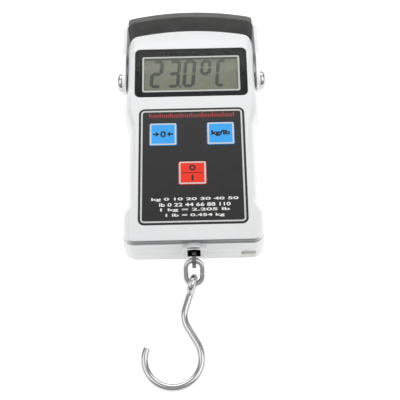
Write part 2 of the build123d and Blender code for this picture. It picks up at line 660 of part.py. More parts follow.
with BuildPart() as carrier_yoke:
    with BuildSketch(Plane.XY.offset(PULL_Z - YOKE_HEIGHT / 2)):
        with BuildLine():
            Polyline(
                (-YOKE_ARM_X, PIVOT_Y + 6.0),
                (-YOKE_ARM_X, CELL_Y[1]),
                (YOKE_ARM_X, CELL_Y[1]),
                (YOKE_ARM_X, PIVOT_Y + 6.0),
                (YOKE_ARM_X - YOKE_STRIP, PIVOT_Y + 6.0),
                (YOKE_ARM_X - YOKE_STRIP, CELL_Y[1] + YOKE_STRIP),
                (-YOKE_ARM_X + YOKE_STRIP, CELL_Y[1] + YOKE_STRIP),
                (-YOKE_ARM_X + YOKE_STRIP, PIVOT_Y + 6.0),
                close=True,
            )
        make_face()
    extrude(amount=YOKE_HEIGHT)
    yoke_bends = carrier_yoke.edges().filter_by(Axis.Z)
    fillet(yoke_bends.group_by(Axis.Y)[0], 3.4)
    inner_bends = carrier_yoke.edges().filter_by(Axis.Z)
    fillet(inner_bends.filter_by(lambda e: abs(e.center().Y - CELL_Y[1] - YOKE_STRIP) < 0.01), 1.0)
    with BuildSketch(Plane.YZ.offset(-50)):
        with Locations((PIVOT_Y, PULL_Z)):
            Circle(1.65)
    extrude(amount=100, mode=Mode.SUBTRACT)
    with BuildSketch(Plane.XZ.offset(-CELL_Y[1] - YOKE_STRIP - 1)):
        with Locations(*[(x, PULL_Z) for x in YOKE_BOLTS_X]):
            Circle(1.6)
    extrude(amount=YOKE_STRIP + 2, mode=Mode.SUBTRACT)
finish(carrier_yoke, "carrier_yoke")

with BuildPart() as yoke_bolts:
    with BuildSketch(Plane.XZ.offset(-CELL_Y[1] - YOKE_STRIP - 2.0)):
        with Locations(*[(x, PULL_Z) for x in YOKE_BOLTS_X]):
            Circle(2.9)
            RegularPolygon(1.4, 6, mode=Mode.SUBTRACT)
    extrude(amount=2.0)
    with BuildSketch(Plane.XZ.offset(-CELL_Y[1] - YOKE_STRIP)):
        with Locations(*[(x, PULL_Z) for x in YOKE_BOLTS_X]):
            Circle(1.5)
    extrude(amount=YOKE_STRIP + 5.5)
finish(yoke_bolts, "yoke_bolts")

# ---------------------------------------------------------------- handle and its pivots
ARM_OUTER_X = ARM_INNER_X + ARM_THICKNESS
ARM_TOP_X = 36.6
ARM_BEND_Y = 49.0
ARM_BEND_RADIUS = 16.0
ARM_CORNER_Y = 68.6
BAIL_CORNER = 7.5
BAIL_LOW = 0.8
BAIL_CROWN_Y = HANDLE_TOP_Y - GRIP_COVER
ARM_FOOT_Y = 20.0
HEAD_X = ARM_OUTER_X + 0.25
HEAD_HEIGHT = 2.6
HEAD_RADIUS = 5.2
ARM_STRAIGHT_Y = 51.0
ARM_FLARE_Y = 65.0
BEYOND_Y = 80.0  # past the far side of the handle


def bail_plan(inward):
    """Plan of the bail's closed outer face, moved inwards, or outwards if negative."""
    with BuildSketch(Plane.XY) as plan:
        with BuildLine():
            Polyline(
                (-ARM_TOP_X, ARM_CORNER_Y),
                (-ARM_OUTER_X, ARM_BEND_Y),
                (-ARM_OUTER_X, ARM_FOOT_Y),
                (ARM_OUTER_X, ARM_FOOT_Y),
                (ARM_OUTER_X, ARM_BEND_Y),
                (ARM_TOP_X, ARM_CORNER_Y),
            )
            ThreePointArc((ARM_TOP_X, ARM_CORNER_Y), (0, BAIL_CROWN_Y), (-ARM_TOP_X, ARM_CORNER_Y))
        make_face()
        fillet(plan.vertices().filter_by(lambda v: abs(v.Y - ARM_BEND_Y) < 0.1), ARM_BEND_RADIUS)
        fillet(plan.vertices().group_by(Axis.Y)[-1], BAIL_CORNER)
        if inward:
            offset(amount=-inward)
    return plan.sketch


with BuildPart() as handle_bail:
    with BuildSketch(Plane.XY.offset(BAIL_LOW)):
        add(bail_plan(0))
        add(bail_plan(ARM_THICKNESS), mode=Mode.SUBTRACT)
        with Locations((0, ARM_FOOT_Y)):
            Rectangle(2 * ARM_INNER_X, 3 * ARM_THICKNESS, mode=Mode.SUBTRACT)
    extrude(amount=BODY_DEPTH - 2 * BAIL_LOW)
    # seen from the side, each arm widens from a round pivot end to the full depth
    with BuildSketch(Plane.YZ.offset(-50)):
        with BuildLine():
            Polyline(
                (PIVOT_Y, PULL_Z - ARM_END_RADIUS),
                (ARM_STRAIGHT_Y, PULL_Z - ARM_END_RADIUS),
                (ARM_FLARE_Y, BAIL_LOW),
                (BEYOND_Y, BAIL_LOW),
                (BEYOND_Y, BODY_DEPTH - BAIL_LOW),
                (ARM_FLARE_Y, BODY_DEPTH - BAIL_LOW),
                (ARM_STRAIGHT_Y, PULL_Z + ARM_END_RADIUS),
                (PIVOT_Y, PULL_Z + ARM_END_RADIUS),
                close=True,
            )
        make_face()
        with Locations((PIVOT_Y, PULL_Z)):
            Circle(ARM_END_RADIUS)
    extrude(amount=100, mode=Mode.INTERSECT)
    with BuildSketch(Plane.YZ.offset(-50)):
        with Locations((PIVOT_Y, PULL_Z)):
            Circle(3.0)
    extrude(amount=100, mode=Mode.SUBTRACT)
finish(handle_bail, "handle_bail")

with BuildPart() as handle_grip:
    with BuildSketch(Plane.XY):
        add(bail_plan(-GRIP_COVER))
        add(bail_plan(ARM_THICKNESS + GRIP_INSIDE), mode=Mode.SUBTRACT)
        with Locations((0, HANDLE_TOP_Y)):
            Rectangle(2 * GRIP_HALF_WIDTH, BODY_DEPTH, mode=Mode.INTERSECT)
    extrude(amount=BODY_DEPTH)
    fillet(handle_grip.edges().filter_by(GeomType.CIRCLE), 0.55)
    # channel that the bail's crossbar fills
    with BuildSketch(Plane.XY.offset(BAIL_LOW)):
        add(bail_plan(0))
        add(bail_plan(ARM_THICKNESS), mode=Mode.SUBTRACT)
    extrude(amount=BODY_DEPTH - 2 * BAIL_LOW, mode=Mode.SUBTRACT)
finish(handle_grip, "handle_grip")

with BuildPart() as pivot_bushes:
    with BuildSketch(Plane.YZ.offset(ARM_INNER_X)):
        with Locations((PIVOT_Y, PULL_Z)):
            Circle(2.95)
            Circle(BUSH_BORE, mode=Mode.SUBTRACT)
    extrude(amount=ARM_THICKNESS)
    mirror(about=Plane.YZ)
finish(pivot_bushes, "pivot_bushes")

with BuildPart() as pivot_washers:
    with BuildSketch(Plane.YZ.offset(HALF_SHOULDER + 0.1)):
        with Locations((PIVOT_Y, PULL_Z)):
            Circle(4.6)
            Circle(SHOULDER_RADIUS + 0.1, mode=Mode.SUBTRACT)
    extrude(amount=ARM_INNER_X - 0.2 - HALF_SHOULDER - 0.1)
    mirror(about=Plane.YZ)
finish(pivot_washers, "pivot_washers")

with BuildPart() as pivot_screws:
    with BuildSketch(Plane.YZ.offset(YOKE_ARM_X - 3.2)):
        with Locations((PIVOT_Y, PULL_Z)):
            Circle(1.6)
    extrude(amount=3.2)
    with BuildSketch(Plane.YZ.offset(YOKE_ARM_X)):
        with Locations((PIVOT_Y, PULL_Z)):
            Circle(SHOULDER_RADIUS)
    extrude(amount=HEAD_X - YOKE_ARM_X)
    with BuildSketch(Plane.YZ.offset(HEAD_X)):
        with Locations((PIVOT_Y, PULL_Z)):
            Circle(HEAD_RADIUS)
    extrude(amount=HEAD_HEIGHT)
    fillet(pivot_screws.edges().group_by(Axis.X)[-1], HEAD_HEIGHT - 0.4)
    with BuildSketch(Plane.YZ.offset(HEAD_X + HEAD_HEIGHT - 0.9)):
        with Locations((PIVOT_Y, PULL_Z)):
            Rectangle(4.4, 0.8)
            Rectangle(0.8, 4.4)
    extrude(amount=2.0, mode=Mode.SUBTRACT)
    mirror(about=Plane.YZ)
finish(pivot_screws, "pivot_screws")

# ---------------------------------------------------------------- link and hook
link_top = Vector(LINK_X, EYE_Y, PULL_Z)
link_bottom = Vector(LINK_X, HOOK_EYE[1], HOOK_EYE[2])
link_run = link_top - link_bottom
link_plane = Plane(
    origin=(link_top + link_bottom) / 2, x_dir=(1, 0, 0), z_dir=Vector(1, 0, 0).cross(link_run)
)
LINK_HALF_RUN = link_run.length / 2 - LINK_END_RADIUS
LINK_SLIT = 0.35

with BuildPart() as hook_link:
    with BuildLine(link_plane) as link_route:
        Line((-LINK_END_RADIUS, -LINK_HALF_RUN), (-LINK_END_RADIUS, LINK_HALF_RUN))
        ThreePointArc(
            (-LINK_END_RADIUS, LINK_HALF_RUN),
            (0, LINK_HALF_RUN + LINK_END_RADIUS),
            (LINK_END_RADIUS, LINK_HALF_RUN),
        )
        Line((LINK_END_RADIUS, LINK_HALF_RUN), (LINK_END_RADIUS, -LINK_HALF_RUN))
        ThreePointArc(
            (LINK_END_RADIUS, -LINK_HALF_RUN),
            (0, -LINK_HALF_RUN - LINK_END_RADIUS),
            (-LINK_END_RADIUS, -LINK_HALF_RUN),
        )
    with BuildSketch(
        Plane(
            origin=link_plane.from_local_coords((-LINK_END_RADIUS, -LINK_HALF_RUN, 0)),
            x_dir=(1, 0, 0),
            z_dir=link_run,
        )
    ):
        Circle(LINK_WIRE)
    sweep(path=link_route.wires()[0])
    # saw cut where the bent wire's ends meet
    with BuildSketch(link_plane):
        with Locations(Location((LINK_END_RADIUS, -0.6), -12)):
            Rectangle(4 * LINK_WIRE, LINK_SLIT)
    extrude(amount=2 * LINK_WIRE, both=True, mode=Mode.SUBTRACT)
finish(hook_link, "hook_link")

HOOK_Z = HOOK_EYE[2] - HOOK_EYE_RADIUS
BOWL_CENTRE = (-11.3, -115.5)
BOWL_RADIUS = 14.1
BOWL_SWEEP = 204.0
EYE_SWEEP = 292.0
eye_forward = Vector(-math.sin(math.radians(HOOK_YAW)), -math.cos(math.radians(HOOK_YAW)), 0)
eye_plane = Plane(origin=HOOK_EYE, x_dir=eye_forward, z_dir=eye_forward.cross(Vector(0, 0, 1)))
SHANK_BEND = (-6.6, -95.0)
BOWL_BEND = (BOWL_CENTRE[0] + BOWL_RADIUS, -111.1)

with BuildPart() as hook:
    with BuildLine() as shank_route:
        shank = FilletPolyline(
            (HOOK_EYE[0], HOOK_EYE[1], HOOK_Z),
            (SHANK_BEND[0], SHANK_BEND[1], HOOK_Z),
            (BOWL_BEND[0], BOWL_BEND[1], HOOK_Z),
            (BOWL_BEND[0], BOWL_CENTRE[1], HOOK_Z),
            radius=[12.5, 15.5],
        )
        CenterArc((BOWL_CENTRE[0], BOWL_CENTRE[1], HOOK_Z), BOWL_RADIUS, 0, -BOWL_SWEEP)
    with BuildSketch(Plane(origin=shank @ 0, z_dir=shank % 0)):
        Circle(HOOK_WIRE)
    sweep(path=shank_route.wires()[0])
    with BuildLine(eye_plane) as eye_route:
        CenterArc((0, 0), HOOK_EYE_RADIUS, -90, -EYE_SWEEP)
    with BuildSketch(Plane(origin=(HOOK_EYE[0], HOOK_EYE[1], HOOK_Z), z_dir=eye_forward)):
        Circle(HOOK_WIRE)
    sweep(path=eye_route.wires()[0])
    tip = hook.faces().filter_by(GeomType.PLANE).sort_by(Axis.X)[0]
    fillet(tip.edges(), 0.7)
finish(hook, "hook")

# ---------------------------------------------------------------- batteries
CELL_START_Y = BAY_Y[0] + 0.4
BATTERY_Z = 7.2
SPRING_TURNS = 3
SPRING_WIRE = 0.35
SPRING_LENGTH = BAY_Y[1] - 0.4 - CELL_START_Y - AAA_LENGTH - 0.9

with BuildPart() as battery_cells:
    with BuildSketch(Plane.XZ.offset(-CELL_START_Y - AAA_LENGTH)):
        with Locations(*[(x, BATTERY_Z) for x in CELL_PLACES_X]):
            Circle(AAA_RADIUS)
    extrude(amount=AAA_LENGTH - 1.0)
    fillet(battery_cells.edges().filter_by(GeomType.CIRCLE), 0.5)
    with BuildSketch(Plane.XZ.offset(-CELL_START_Y - 1.0)):
        with Locations(*[(x, BATTERY_Z) for x in CELL_PLACES_X]):
            Circle(1.9)
    extrude(amount=1.0)
finish(battery_cells, "battery_cells")

with BuildPart() as battery_plates:
    with BuildSketch(Plane.XZ.offset(-BAY_Y[0] - 0.4)):
        with Locations(*[(x, BATTERY_Z) for x in CELL_PLACES_X]):
            Rectangle(8.6, 8.6)
    extrude(amount=0.4)
    with BuildSketch(Plane.XZ.offset(-BAY_Y[1])):
        with Locations((0, BATTERY_Z)):
            Rectangle(19.4, 8.6)
    extrude(amount=0.4)
finish(battery_plates, "battery_plates")

with BuildPart() as battery_springs:
    for spring_x in CELL_PLACES_X:
        with BuildLine() as spring_route:
            Helix(
                SPRING_LENGTH / SPRING_TURNS,
                SPRING_LENGTH,
                2.6,
                center=(spring_x, BAY_Y[1] - 0.4 - SPRING_WIRE - 0.05, BATTERY_Z),
                direction=(0, -1, 0),
            )
        with BuildSketch(Plane(origin=spring_route.line @ 0, z_dir=spring_route.line % 0)):
            Circle(SPRING_WIRE)
        sweep(path=spring_route.wires()[0])
finish(battery_springs, "battery_springs")

BATTERY_LEAD_X = 14.5

with BuildPart() as battery_leads:
    for lead_y in (44.0, 41.0):
        with BuildLine() as lead_route:
            FilletPolyline(
                (BAY_HALF_WIDTH + 1.2, lead_y, BATTERY_Z + 2.0),
                (BATTERY_LEAD_X + 1.5, lead_y, BATTERY_Z + 2.0),
                (BATTERY_LEAD_X + 1.5, lead_y, BOARD_BOTTOM),
                radius=2.6,
            )
        with BuildSketch(Plane.YZ.offset(BAY_HALF_WIDTH + 1.2)):
            with Locations((lead_y, BATTERY_Z + 2.0)):
                Circle(0.6)
        sweep(path=lead_route.wires()[0])
finish(battery_leads, "battery_leads")

# ---------------------------------------------------------------- tape measure
SPOOL_DISC = 0.3
HUB_RADIUS = 3.2
AXLE_RADIUS = 1.0
TAB_PLATE = 1.0
TAB_Y = -HALF_LENGTH - 0.3
TAB_WIDTH = 6.6
TAB_Z = (5.3, 9.5)
TAPE_EDGES_X = (TAPE_X - TAPE_WIDTH / 2, TAPE_X + TAPE_WIDTH / 2)

with BuildPart() as tape_case:
    with BuildSketch(Plane.YZ.offset(TAPE_CASE_X)):
        with Locations((REEL_Y, REEL_Z)):
            Rectangle(2 * SPOOL_RADIUS + 2.6, 2 * SPOOL_RADIUS + 1.4)
    extrude(amount=TAPE_CASE_WALL)
    with BuildSketch(Plane.YZ.offset(TAPE_CASE_X + TAPE_CASE_WALL)):
        with Locations((REEL_Y + SPOOL_RADIUS + 0.8, REEL_Z - 2.0)):
            Rectangle(1.0, 9.0)
    extrude(amount=6.2)
    with BuildSketch(Plane.YZ.offset(TAPE_CASE_X + TAPE_CASE_WALL)):
        with Locations((REEL_Y, REEL_Z)):
            Circle(1.8)
    extrude(amount=0.25)
    with BuildSketch(Plane.YZ.offset(TAPE_CASE_X)):
        with Locations((REEL_Y, REEL_Z)):
            Circle(AXLE_RADIUS + 0.01)
    extrude(amount=3, mode=Mode.SUBTRACT)
finish(tape_case, "tape_case")

with BuildPart() as tape_axle:
    with BuildSketch(Plane.YZ.offset(TAPE_CASE_X)):
        with Locations((REEL_Y, REEL_Z)):
            Circle(AXLE_RADIUS)
    extrude(amount=TAPE_EDGES_X[1] + SPOOL_DISC + 0.2 - TAPE_CASE_X)
finish(tape_axle, "tape_axle")

with BuildPart() as tape_spool:
    with BuildSketch(Plane.YZ.offset(TAPE_EDGES_X[0] - SPOOL_DISC)):
        with Locations((REEL_Y, REEL_Z)):
            Circle(SPOOL_RADIUS)
            Circle(AXLE_RADIUS + 0.06, mode=Mode.SUBTRACT)
    extrude(amount=SPOOL_DISC)
    with BuildSketch(Plane.YZ.offset(TAPE_EDGES_X[1])):
        with Locations((REEL_Y, REEL_Z)):
            Circle(SPOOL_RADIUS)
            Circle(HUB_RADIUS - 0.6, mode=Mode.SUBTRACT)
    extrude(amount=SPOOL_DISC)
    with BuildSketch(Plane.YZ.offset(TAPE_EDGES_X[0])):
        with Locations((REEL_Y, REEL_Z)):
            Circle(HUB_RADIUS)
            Circle(HUB_RADIUS - 0.6, mode=Mode.SUBTRACT)
    extrude(amount=TAPE_WIDTH)
finish(tape_spool, "tape_spool")

with BuildPart() as tape_spring:
    with BuildSketch(Plane.YZ.offset(TAPE_EDGES_X[0] + 0.6)):
        with Locations((REEL_Y, REEL_Z)):
            for spring_radius in (1.45, 1.85, 2.25):
                Circle(spring_radius)
                Circle(spring_radius - 0.15, mode=Mode.SUBTRACT)
            with Locations((0, 1.85)):
                Rectangle(0.5, 1.0)
    extrude(amount=TAPE_WIDTH - 1.2)
finish(tape_spring, "tape_spring")

with BuildPart() as tape_coil:
    with BuildSketch(Plane.YZ.offset(TAPE_EDGES_X[0] + 0.1)):
        with Locations((REEL_Y, REEL_Z)):
            Circle(REEL_RADIUS - TAPE_THICKNESS - 0.1)
            Circle(HUB_RADIUS, mode=Mode.SUBTRACT)
    extrude(amount=TAPE_WIDTH - 0.2)
finish(tape_coil, "tape_coil")

with BuildPart() as tape_blade:
    with BuildSketch(Plane.XY.offset(TAPE_Z)):
        with Locations((TAPE_X, (REEL_Y + TAB_Y - 0.4) / 2)):
            Rectangle(TAPE_WIDTH - 0.3, REEL_Y - TAB_Y + 0.4)
    extrude(amount=TAPE_THICKNESS)
finish(tape_blade, "tape_blade")

with BuildPart() as tape_tab:
    with BuildSketch(Plane.YZ.offset(TAPE_X - TAB_WIDTH / 2)):
        with BuildLine():
            Polyline(
                (TAB_Y, TAB_Z[0]),
                (TAB_Y, TAPE_Z - 0.6),
                (TAB_Y + 4.0, TAPE_Z - 0.6),
                (TAB_Y + 4.0, TAPE_Z),
                (TAB_Y - 0.4, TAPE_Z),
                (TAB_Y - 0.4, TAB_Z[1]),
                (TAB_Y - TAB_PLATE, TAB_Z[1]),
                (TAB_Y - TAB_PLATE, TAB_Z[0]),
                close=True,
            )
        make_face()
    extrude(amount=TAB_WIDTH)
    tab_edges = tape_tab.edges().filter_by(Axis.Y)
    fillet(tab_edges.filter_by(lambda e: e.center().Z < TAB_Z[0] + 0.1), 1.0)
finish(tape_tab, "tape_tab")

with BuildPart() as tab_rivets:
    with BuildSketch(Plane.XY.offset(TAPE_Z + TAPE_THICKNESS)):
        with Locations((TAPE_X - 1.5, TAB_Y + 2.4), (TAPE_X + 1.5, TAB_Y + 2.4)):
            Circle(0.7)
    extrude(amount=0.3)
finish(tab_rivets, "tab_rivets")
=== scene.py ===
"""Looks of the digital fish scale: materials, printed marks, display, floor, light and camera."""

import json
import math

import bmesh
import bpy
from mathutils import Matrix, Quaternion, Vector


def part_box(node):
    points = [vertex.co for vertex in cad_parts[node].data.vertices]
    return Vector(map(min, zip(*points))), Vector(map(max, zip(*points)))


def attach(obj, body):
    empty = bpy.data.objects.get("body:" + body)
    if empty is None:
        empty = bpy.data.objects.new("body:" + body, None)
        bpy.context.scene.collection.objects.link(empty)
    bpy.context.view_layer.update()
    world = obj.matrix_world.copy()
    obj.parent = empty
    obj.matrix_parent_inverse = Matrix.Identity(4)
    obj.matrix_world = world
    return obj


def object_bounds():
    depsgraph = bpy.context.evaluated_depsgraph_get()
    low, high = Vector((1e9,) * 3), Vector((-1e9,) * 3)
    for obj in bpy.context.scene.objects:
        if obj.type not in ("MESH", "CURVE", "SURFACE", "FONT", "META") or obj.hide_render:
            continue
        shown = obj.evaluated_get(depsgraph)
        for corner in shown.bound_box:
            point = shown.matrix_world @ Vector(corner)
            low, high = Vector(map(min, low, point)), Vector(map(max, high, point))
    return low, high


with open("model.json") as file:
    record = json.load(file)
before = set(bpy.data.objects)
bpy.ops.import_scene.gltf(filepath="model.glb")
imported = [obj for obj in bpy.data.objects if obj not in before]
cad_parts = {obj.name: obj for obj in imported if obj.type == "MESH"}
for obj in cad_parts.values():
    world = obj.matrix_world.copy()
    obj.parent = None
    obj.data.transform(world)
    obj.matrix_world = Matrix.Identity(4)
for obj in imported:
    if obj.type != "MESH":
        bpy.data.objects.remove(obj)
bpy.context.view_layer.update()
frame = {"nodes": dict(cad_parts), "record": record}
MM = 0.001
nodes = frame["nodes"]


# ---------------------------------------------------------------- node helpers
class Graph:
    """A small builder for one node tree."""

    def __init__(self, tree):
        self.tree = tree
        tree.nodes.clear()

    def add(self, kind, values=None, **settings):
        node = self.tree.nodes.new(kind)
        for key, value in settings.items():
            setattr(node, key, value)
        for key, value in (values or {}).items():
            node.inputs[key].default_value = value
        return node

    def link(self, source, target):
        self.tree.links.new(source, target)

    def ramp(self, source, stops):
        node = self.add("ShaderNodeValToRGB")
        while len(node.color_ramp.elements) > 2:
            node.color_ramp.elements.remove(node.color_ramp.elements[-1])
        for index, (place, colour) in enumerate(stops):
            if index < 2:
                element = node.color_ramp.elements[index]
                element.position = place
            else:
                element = node.color_ramp.elements.new(place)
            shade = colour if isinstance(colour, tuple) else (colour,) * 3
            element.color = (*shade, 1.0)
        self.link(source, node.inputs["Fac"])
        return node.outputs["Color"]

    def span(self, source, low, high, from_low=0.0, from_high=1.0):
        node = self.add("ShaderNodeMapRange", {1: from_low, 2: from_high, 3: low, 4: high})
        self.link(source, node.inputs[0])
        return node.outputs[0]

    def times(self, first, second):
        """The product of two outputs."""
        node = self.add("ShaderNodeMath", operation="MULTIPLY")
        self.link(first, node.inputs[0])
        self.link(second, node.inputs[1])
        return node.outputs[0]

    def axes(self, source):
        """The X, Y and Z outputs of a vector."""
        node = self.add("ShaderNodeSeparateXYZ")
        self.link(source, node.inputs[0])
        return node.outputs

    def place(self):
        """The X, Y and Z outputs of the place on the object, in metres."""
        return self.axes(self.add("ShaderNodeTexCoord").outputs["Object"])

    def mix(self, factor, first, second, blend="MIX"):
        node = self.add("ShaderNodeMix", data_type="RGBA", blend_type=blend)
        for socket, value in ((node.inputs[0], factor), (node.inputs[6], first), (node.inputs[7], second)):
            if isinstance(value, (int, float)):
                socket.default_value = value
            elif isinstance(value, tuple):
                socket.default_value = (*value, 1.0)
            else:
                self.link(value, socket)
        return node.outputs[2]

    def noise(self, scale, detail=3.0, rough=0.5, stretch=None, distortion=0.0):
        place = self.add("ShaderNodeTexCoord").outputs["Object"]
        if stretch:
            mapping = self.add("ShaderNodeMapping", {"Scale": stretch})
            self.link(place, mapping.inputs["Vector"])
            place = mapping.outputs["Vector"]
        node = self.add(
            "ShaderNodeTexNoise",
            {"Scale": scale, "Detail": detail, "Roughness": rough, "Distortion": distortion},
        )
        self.link(place, node.inputs["Vector"])
        return node.outputs["Fac"]

    def edges(self, radius):
        """1 on sharp outer edges and 0 on flat ground."""
        bevel = self.add("ShaderNodeBevel", {"Radius": radius}, samples=4)
        ground = self.add("ShaderNodeNewGeometry")
        dot = self.add("ShaderNodeVectorMath", operation="DOT_PRODUCT")
        self.link(bevel.outputs["Normal"], dot.inputs[0])
        self.link(ground.outputs["Normal"], dot.inputs[1])
        return self.span(dot.outputs["Value"], 1.0, 0.0, 0.86, 0.995)


def make(name, base, rough, metal=0.0, coat=0.0, specular=0.5, tone=0.04, tone_scale=90.0,
         rough_swing=0.06, grain=0.0, grain_scale=2500.0, grain_stretch=None, wear=None,
         wear_radius=0.4 * MM, dust=0.0, coat_rough=0.08, extra=None):
    """A procedural finish: uneven tone, uneven gloss, surface grain and worn edges."""
    material = bpy.data.materials.new(name)
    material.use_nodes = True
    g = Graph(material.node_tree)
    shader = g.add(
        "ShaderNodeBsdfPrincipled",
        {
            "Metallic": metal,
            "Coat Weight": coat,
            "Coat Roughness": coat_rough,
            "Specular IOR Level": specular,
        },
    )
    out = g.add("ShaderNodeOutputMaterial")
    g.link(shader.outputs[0], out.inputs["Surface"])
    broad = g.noise(tone_scale, 4.0, 0.6)
    fine = g.noise(tone_scale * 9, 3.0, 0.55, stretch=grain_stretch)
    darker = tuple(c * (1 - tone * 1.6) for c in base)
    lighter = tuple(min(1.0, c * (1 + tone)) for c in base)
    colour = g.ramp(g.mix(0.35, broad, fine), [(0.3, darker), (0.7, lighter)])
    if extra:
        colour = extra(g, colour)
    if dust:
        specks = g.ramp(g.noise(1400.0, 2.0, 0.5), [(0.66, 0.0), (0.74, 1.0)])
        amount = g.add("ShaderNodeMath", {1: dust}, operation="MULTIPLY")
        g.link(specks, amount.inputs[0])
        colour = g.mix(amount.outputs[0], colour, tuple(min(1.0, c * 0.6 + 0.22) for c in base))
    if wear:
        patches = g.ramp(g.noise(900.0, 4.0, 0.65), [(0.42, 0.0), (0.62, 1.0)])
        colour = g.mix(g.times(g.edges(wear_radius), patches), colour, wear)
    g.link(colour, shader.inputs["Base Color"])
    streaks = g.noise(tone_scale * 4, 5.0, 0.6, stretch=grain_stretch)
    g.link(g.span(streaks, rough - rough_swing, rough + rough_swing, 0.3, 0.7), shader.inputs["Roughness"])
    if grain:
        bump = g.add("ShaderNodeBump", {"Strength": 1.0, "Distance": grain})
        g.link(g.noise(grain_scale, 2.0, 0.5, stretch=grain_stretch), bump.inputs["Height"])
        g.link(bump.outputs["Normal"], shader.inputs["Normal"])
    return material


# ---------------------------------------------------------------- finishes
# painted shade: black paint for the inside of the mouth, where the hollow is in shade
MOUTH_SHADE_PAINT = (0.012, 0.012, 0.012)
# painted shade: grey paint for the band on the short wall at the foot of the face, standing in for its shade
STEP_SHADE_PAINT = (0.105, 0.108, 0.112)
# grey that the housing is mixed towards in its lowest millimetres, darker towards the bottom
LOW_PAINT = (0.55, 0.56, 0.56)
DARKER_BOTTOM_HEIGHT = 6 * MM
SHADE_BAND_DEPTH = 4.5 * MM  # of the grey band's lower edge below the top of the front shell
SHADE_BAND_BLUR = 0.15 * MM
SHADE_BAND_REACH = 4 * MM  # of the band's fading side beyond the label's foot
SHADE_BAND_END_FADE = (6 * MM, 1 * MM)  # where the band starts and stops fading, from the shell's sides
MOUTH_HALF = 4.4 * MM
MOUTH_TOP = 19.3 * MM
MOUTH_INNER_Y = -40 * MM
THROAT_INSET, THROAT_FLOOR = 0.25 * MM, 8.8 * MM
HOLLOW_INSET, HOLLOW_FLOOR = 1.9 * MM, 0.8 * MM


def darker_towards_bottom(g, colour):
    """Slightly darker paint in the lowest millimetres of the housing."""
    # darker towards the bottom: up to a tenth of the way to a darker grey at the very foot of the housing
    low = g.span(g.place()["Z"], 0.10, 0.0, 0.0, DARKER_BOTTOM_HEIGHT)
    return g.mix(low, colour, LOW_PAINT)


def inside(g, low, high):
    """1 inside a box given by two corners in metres, 0 outside it."""
    place = g.place()
    result = None
    for axis, start, end in zip("XYZ", low, high):
        for limit, operation in ((start, "GREATER_THAN"), (end, "LESS_THAN")):
            test = g.add("ShaderNodeMath", {1: limit}, operation=operation)
            g.link(place[axis], test.inputs[0])
            result = test.outputs[0] if result is None else g.times(result, test.outputs[0])
    return result


def painted_mouth_shade(g, colour):
    """Painted shade: black, painted by position, inside the mouth that the hook's tang comes out of, where
    the hollow is in shade.
    """
    collar_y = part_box("front_shell")[0].y
    for inset, floor_height in ((THROAT_INSET, THROAT_FLOOR), (HOLLOW_INSET, HOLLOW_FLOOR)):
        low = (-MOUTH_HALF, collar_y + inset, floor_height)
        space = inside(g, low, (MOUTH_HALF, MOUTH_INNER_Y, MOUTH_TOP))
        # painted shade: the inside of the mouth is painted black
        colour = g.mix(space, colour, MOUTH_SHADE_PAINT)
    return colour


def shaded_step(g, colour):
    """A grey band, painted by position, that stands in for the shade at the foot of the face."""
    low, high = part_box("front_shell")
    place = g.place()
    ground = g.axes(g.add("ShaderNodeNewGeometry").outputs["Normal"])
    foot_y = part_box("label_panel")[0].y
    edge_z = high.z - SHADE_BAND_DEPTH
    spread = g.add("ShaderNodeMath", operation="ABSOLUTE")
    g.link(place["X"], spread.inputs[0])
    mask = g.span(ground["Y"], 1.0, 0.0, -0.80, -0.45)
    for limit in (
        g.span(place["Z"], 0.0, 1.0, edge_z - SHADE_BAND_BLUR, edge_z + SHADE_BAND_BLUR),
        g.span(place["Y"], 1.0, 0.0, foot_y - SHADE_BAND_REACH, foot_y),
        g.span(spread.outputs[0], 1.0, 0.0, high.x - SHADE_BAND_END_FADE[0], high.x - SHADE_BAND_END_FADE[1]),
    ):
        mask = g.times(limit, mask)
    # painted shade: the grey band on the short wall at the foot of the face
    return g.mix(mask, colour, STEP_SHADE_PAINT)


def speckle(g, colour):
    """Metal flake of the silver paint."""
    flakes = g.add("ShaderNodeTexVoronoi", {"Scale": 5200.0})
    g.link(g.add("ShaderNodeTexCoord").outputs["Object"], flakes.inputs["Vector"])
    glint = g.ramp(flakes.outputs["Color"], [(0.0, 0.965), (1.0, 1.02)])
    return darker_towards_bottom(g, g.mix(1.0, colour, glint, blend="MULTIPLY"))


def front_paint(g, colour):
    """The silver paint with the painted shade band at the foot of the face and the painted shade inside the
    mouth.
    """
    return painted_mouth_shade(g, shaded_step(g, speckle(g, colour)))


SILVER_PAINT = {
    "base": (0.745, 0.755, 0.76), "rough": 0.36, "metal": 0.12, "coat": 0.25, "tone": 0.012,
    "tone_scale": 55.0, "rough_swing": 0.05, "grain": 0.004 * MM, "grain_scale": 1800.0,
    "wear": (0.60, 0.61, 0.62), "wear_radius": 0.25 * MM,
}

